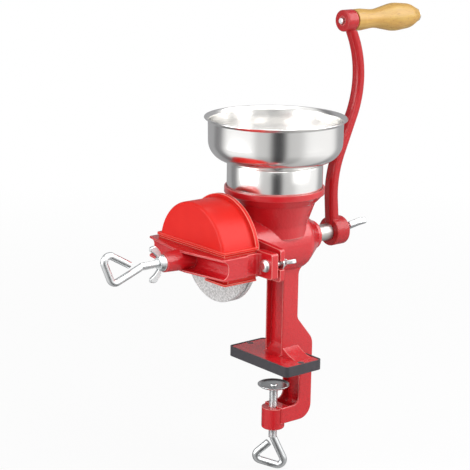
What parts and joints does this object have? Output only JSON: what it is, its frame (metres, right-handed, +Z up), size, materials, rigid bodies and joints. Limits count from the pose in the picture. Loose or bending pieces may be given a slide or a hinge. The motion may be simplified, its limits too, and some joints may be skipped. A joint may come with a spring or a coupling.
{
  "type": "hand grain mill",
  "caption": "Cast-iron grain mill with a table clamp, a steel hopper, plate burrs under a red cover and a crank with a turned wooden grip.",
  "frame": {"origin": "on the hopper's axis, in the plane of the table top that the rubber pad rests on", "axes": "+X along the shaft from the burrs to the crank, +Z up along the hopper's axis, +Y to the far side"},
  "size_m": [0.4223, 0.1646, 0.4997],
  "materials": {
    "red_casting": "gloss paint on cast iron",
    "red_cover": "gloss",
    "polished_steel": "polished stainless steel",
    "rubber_pad": "matte",
    "burr_iron": "bare cast iron, tumbled",
    "bright_steel": "turned, bright",
    "zinc_steel": "bright zinc plate",
    "varnished_wood": "clear varnish"
  },
  "bodies": {
    "stand": {"body_casting": "red_casting", "base_pad": "rubber_pad", "fixed_burr": "burr_iron", "fixed_burr_screws": "zinc_steel", "yoke": "red_casting", "yoke_bolts": "zinc_steel", "burr_cover": "red_cover"},
    "thrust": {"thrust_ball": "bright_steel"},
    "adjuster": {"adjusting_screw": "zinc_steel"},
    "drive": {"auger_shaft": "bright_steel", "burr_carrier": "burr_iron", "carrier_screws": "zinc_steel", "carrier_pin": "zinc_steel", "moving_burr": "burr_iron", "crank_arm": "red_casting", "handle_bolt": "zinc_steel", "handle_end_washer": "zinc_steel"},
    "grip": {"handle_grip": "varnished_wood"},
    "crank_seat": {"crank_washer": "zinc_steel"},
    "crank_wing": {"crank_screw": "zinc_steel"},
    "lock_seat": {"lock_washer": "zinc_steel"},
    "lock_nut": {"lock_wing_nut": "zinc_steel"},
    "near_seat": {"near_washer": "zinc_steel"},
    "near_nut": {"near_wing_nut": "zinc_steel"},
    "far_seat": {"far_washer": "zinc_steel"},
    "far_nut": {"far_wing_nut": "zinc_steel"},
    "clamp_nose": {"clamp_disc": "zinc_steel"},
    "clamp_handle": {"clamp_screw": "zinc_steel"},
    "hopper_bowl": {"hopper": "polished_steel"}
  },
  "joints": [
    {"name": "burr_travel", "type": "slide", "parent": "stand", "child": "thrust", "axis": [1, 0, 0], "range_m": [-0.004, 0.0018]},
    {"name": "adjuster_turn", "type": "hinge", "parent": "thrust", "child": "adjuster", "pos_m": [-0.15, 0, 0.1345], "axis": [1, 0, 0], "range_deg": [-1158, 524.4]},
    {"name": "crank_turn", "type": "hinge", "parent": "thrust", "child": "drive", "pos_m": [0, 0, 0.1345], "axis": [1, 0, 0], "continuous": true},
    {"name": "grip_spin", "type": "hinge", "parent": "drive", "child": "grip", "pos_m": [0.15, 0, 0.3621], "axis": [1, 0, 0], "continuous": true},
    {"name": "crank_screw_travel", "type": "slide", "parent": "drive", "child": "crank_seat", "axis": [1, 0, 0], "range_m": [0, 0.004]},
    {"name": "crank_screw_turn", "type": "hinge", "parent": "crank_seat", "child": "crank_wing", "pos_m": [0.1, 0, 0.1345], "axis": [1, 0, 0], "range_deg": [0, 1158]},
    {"name": "lock_travel", "type": "slide", "parent": "stand", "child": "lock_seat", "axis": [1, 0, 0], "range_m": [-0.004, 0]},
    {"name": "lock_nut_turn", "type": "hinge", "parent": "lock_seat", "child": "lock_nut", "pos_m": [-0.148, 0, 0.1345], "axis": [1, 0, 0], "range_deg": [-1158, 0]},
    {"name": "near_nut_travel", "type": "slide", "parent": "stand", "child": "near_seat", "axis": [1, 0, 0], "range_m": [0, 0.003]},
    {"name": "near_nut_turn", "type": "hinge", "parent": "near_seat", "child": "near_nut", "pos_m": [-0.048, -0.0695, 0.1345], "axis": [1, 0, 0], "range_deg": [0, 870]},
    {"name": "far_nut_travel", "type": "slide", "parent": "stand", "child": "far_seat", "axis": [1, 0, 0], "range_m": [0, 0.003]},
    {"name": "far_nut_turn", "type": "hinge", "parent": "far_seat", "child": "far_nut", "pos_m": [-0.048, 0.0695, 0.1345], "axis": [1, 0, 0], "range_deg": [0, 870]},
    {"name": "clamp_travel", "type": "slide", "parent": "stand", "child": "clamp_nose", "axis": [0, 0, 1], "range_m": [-0.02, 0.008]},
    {"name": "clamp_turn", "type": "hinge", "parent": "clamp_nose", "child": "clamp_handle", "pos_m": [0.005, 0, -0.06], "axis": [0, 0, 1], "range_deg": [-4120.3, 1651.7]},
    {"name": "hopper_lift", "type": "slide", "parent": "stand", "child": "hopper_bowl", "axis": [0, 0, 1], "range_m": [0, 0.05]}
  ],
  "couplings": [
    {"joint": "adjuster_turn", "follows": "burr_travel", "rad_per_m": 5026.5},
    {"joint": "crank_screw_turn", "follows": "crank_screw_travel", "rad_per_m": 5026.5},
    {"joint": "lock_nut_turn", "follows": "lock_travel", "rad_per_m": 5026.5},
    {"joint": "near_nut_turn", "follows": "near_nut_travel", "rad_per_m": 5026.5},
    {"joint": "far_nut_turn", "follows": "far_nut_travel", "rad_per_m": 5026.5},
    {"joint": "clamp_turn", "follows": "clamp_travel", "rad_per_m": 3590.4}
  ]
}
